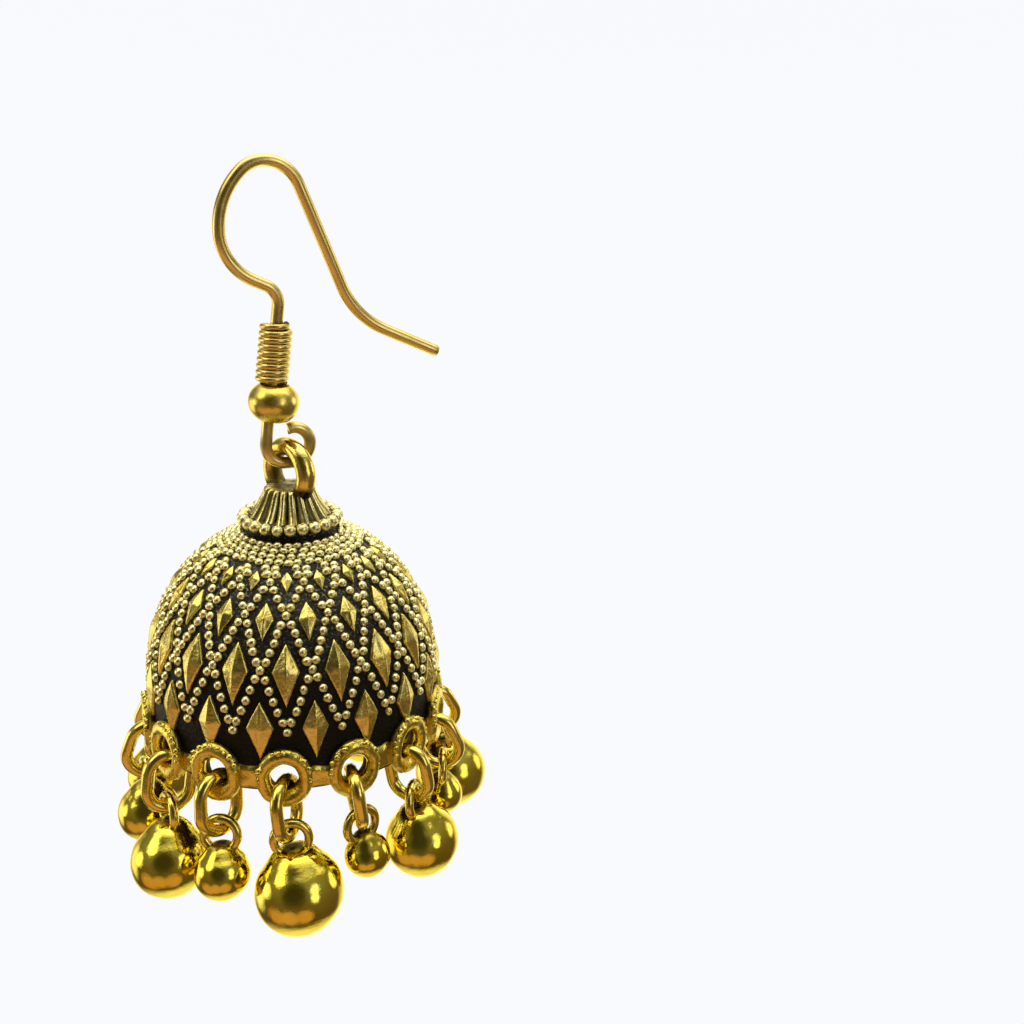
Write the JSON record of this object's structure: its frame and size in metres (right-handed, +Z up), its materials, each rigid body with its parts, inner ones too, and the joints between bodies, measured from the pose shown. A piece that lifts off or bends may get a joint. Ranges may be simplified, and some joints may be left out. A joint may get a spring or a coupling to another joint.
{
  "type": "jhumka drop earring",
  "caption": "Bell-shaped drop earring on a French ear hook, with round balls on jump rings hanging from the rim of a hollow beaded bell.",
  "frame": {"origin": "inner side of the ear wire's arch, straight above the bell's axis, where the wire rests in the ear", "axes": "+Z up along the bell's axis, the ear wire lies in the XZ plane with its tail towards +X"},
  "size_m": [0.0246, 0.024, 0.0441],
  "materials": {
    "hook_gold": "satin warm gold plate",
    "antique_gold": "antique gold with oxidised black recesses",
    "polished_gold": "polished yellow gold plate"
  },
  "bodies": {
    "hook": {"hook_wire": "hook_gold", "hook_coil": "hook_gold", "hook_bead": "hook_gold"},
    "bell_drop": {"bell": "antique_gold", "link_00": "polished_gold", "link_01": "polished_gold", "link_02": "polished_gold", "link_03": "polished_gold", "link_04": "polished_gold", "link_05": "polished_gold", "link_06": "polished_gold", "link_07": "polished_gold", "link_08": "polished_gold", "link_09": "polished_gold", "link_10": "polished_gold", "link_11": "polished_gold", "link_12": "polished_gold", "link_13": "polished_gold", "ball_00": "polished_gold", "ball_01": "polished_gold", "ball_02": "polished_gold", "ball_03": "polished_gold", "ball_04": "polished_gold", "ball_05": "polished_gold", "ball_06": "polished_gold", "ball_07": "polished_gold", "ball_08": "polished_gold", "ball_09": "polished_gold", "ball_10": "polished_gold", "ball_11": "polished_gold", "ball_12": "polished_gold", "ball_13": "polished_gold"}
  },
  "joints": [
    {"name": "bell_swing", "type": "hinge", "parent": "hook", "child": "bell_drop", "pos_m": [0, 0, -0.01694], "axis": [1, 0, 0], "range_deg": [-35, 35]}
  ]
}
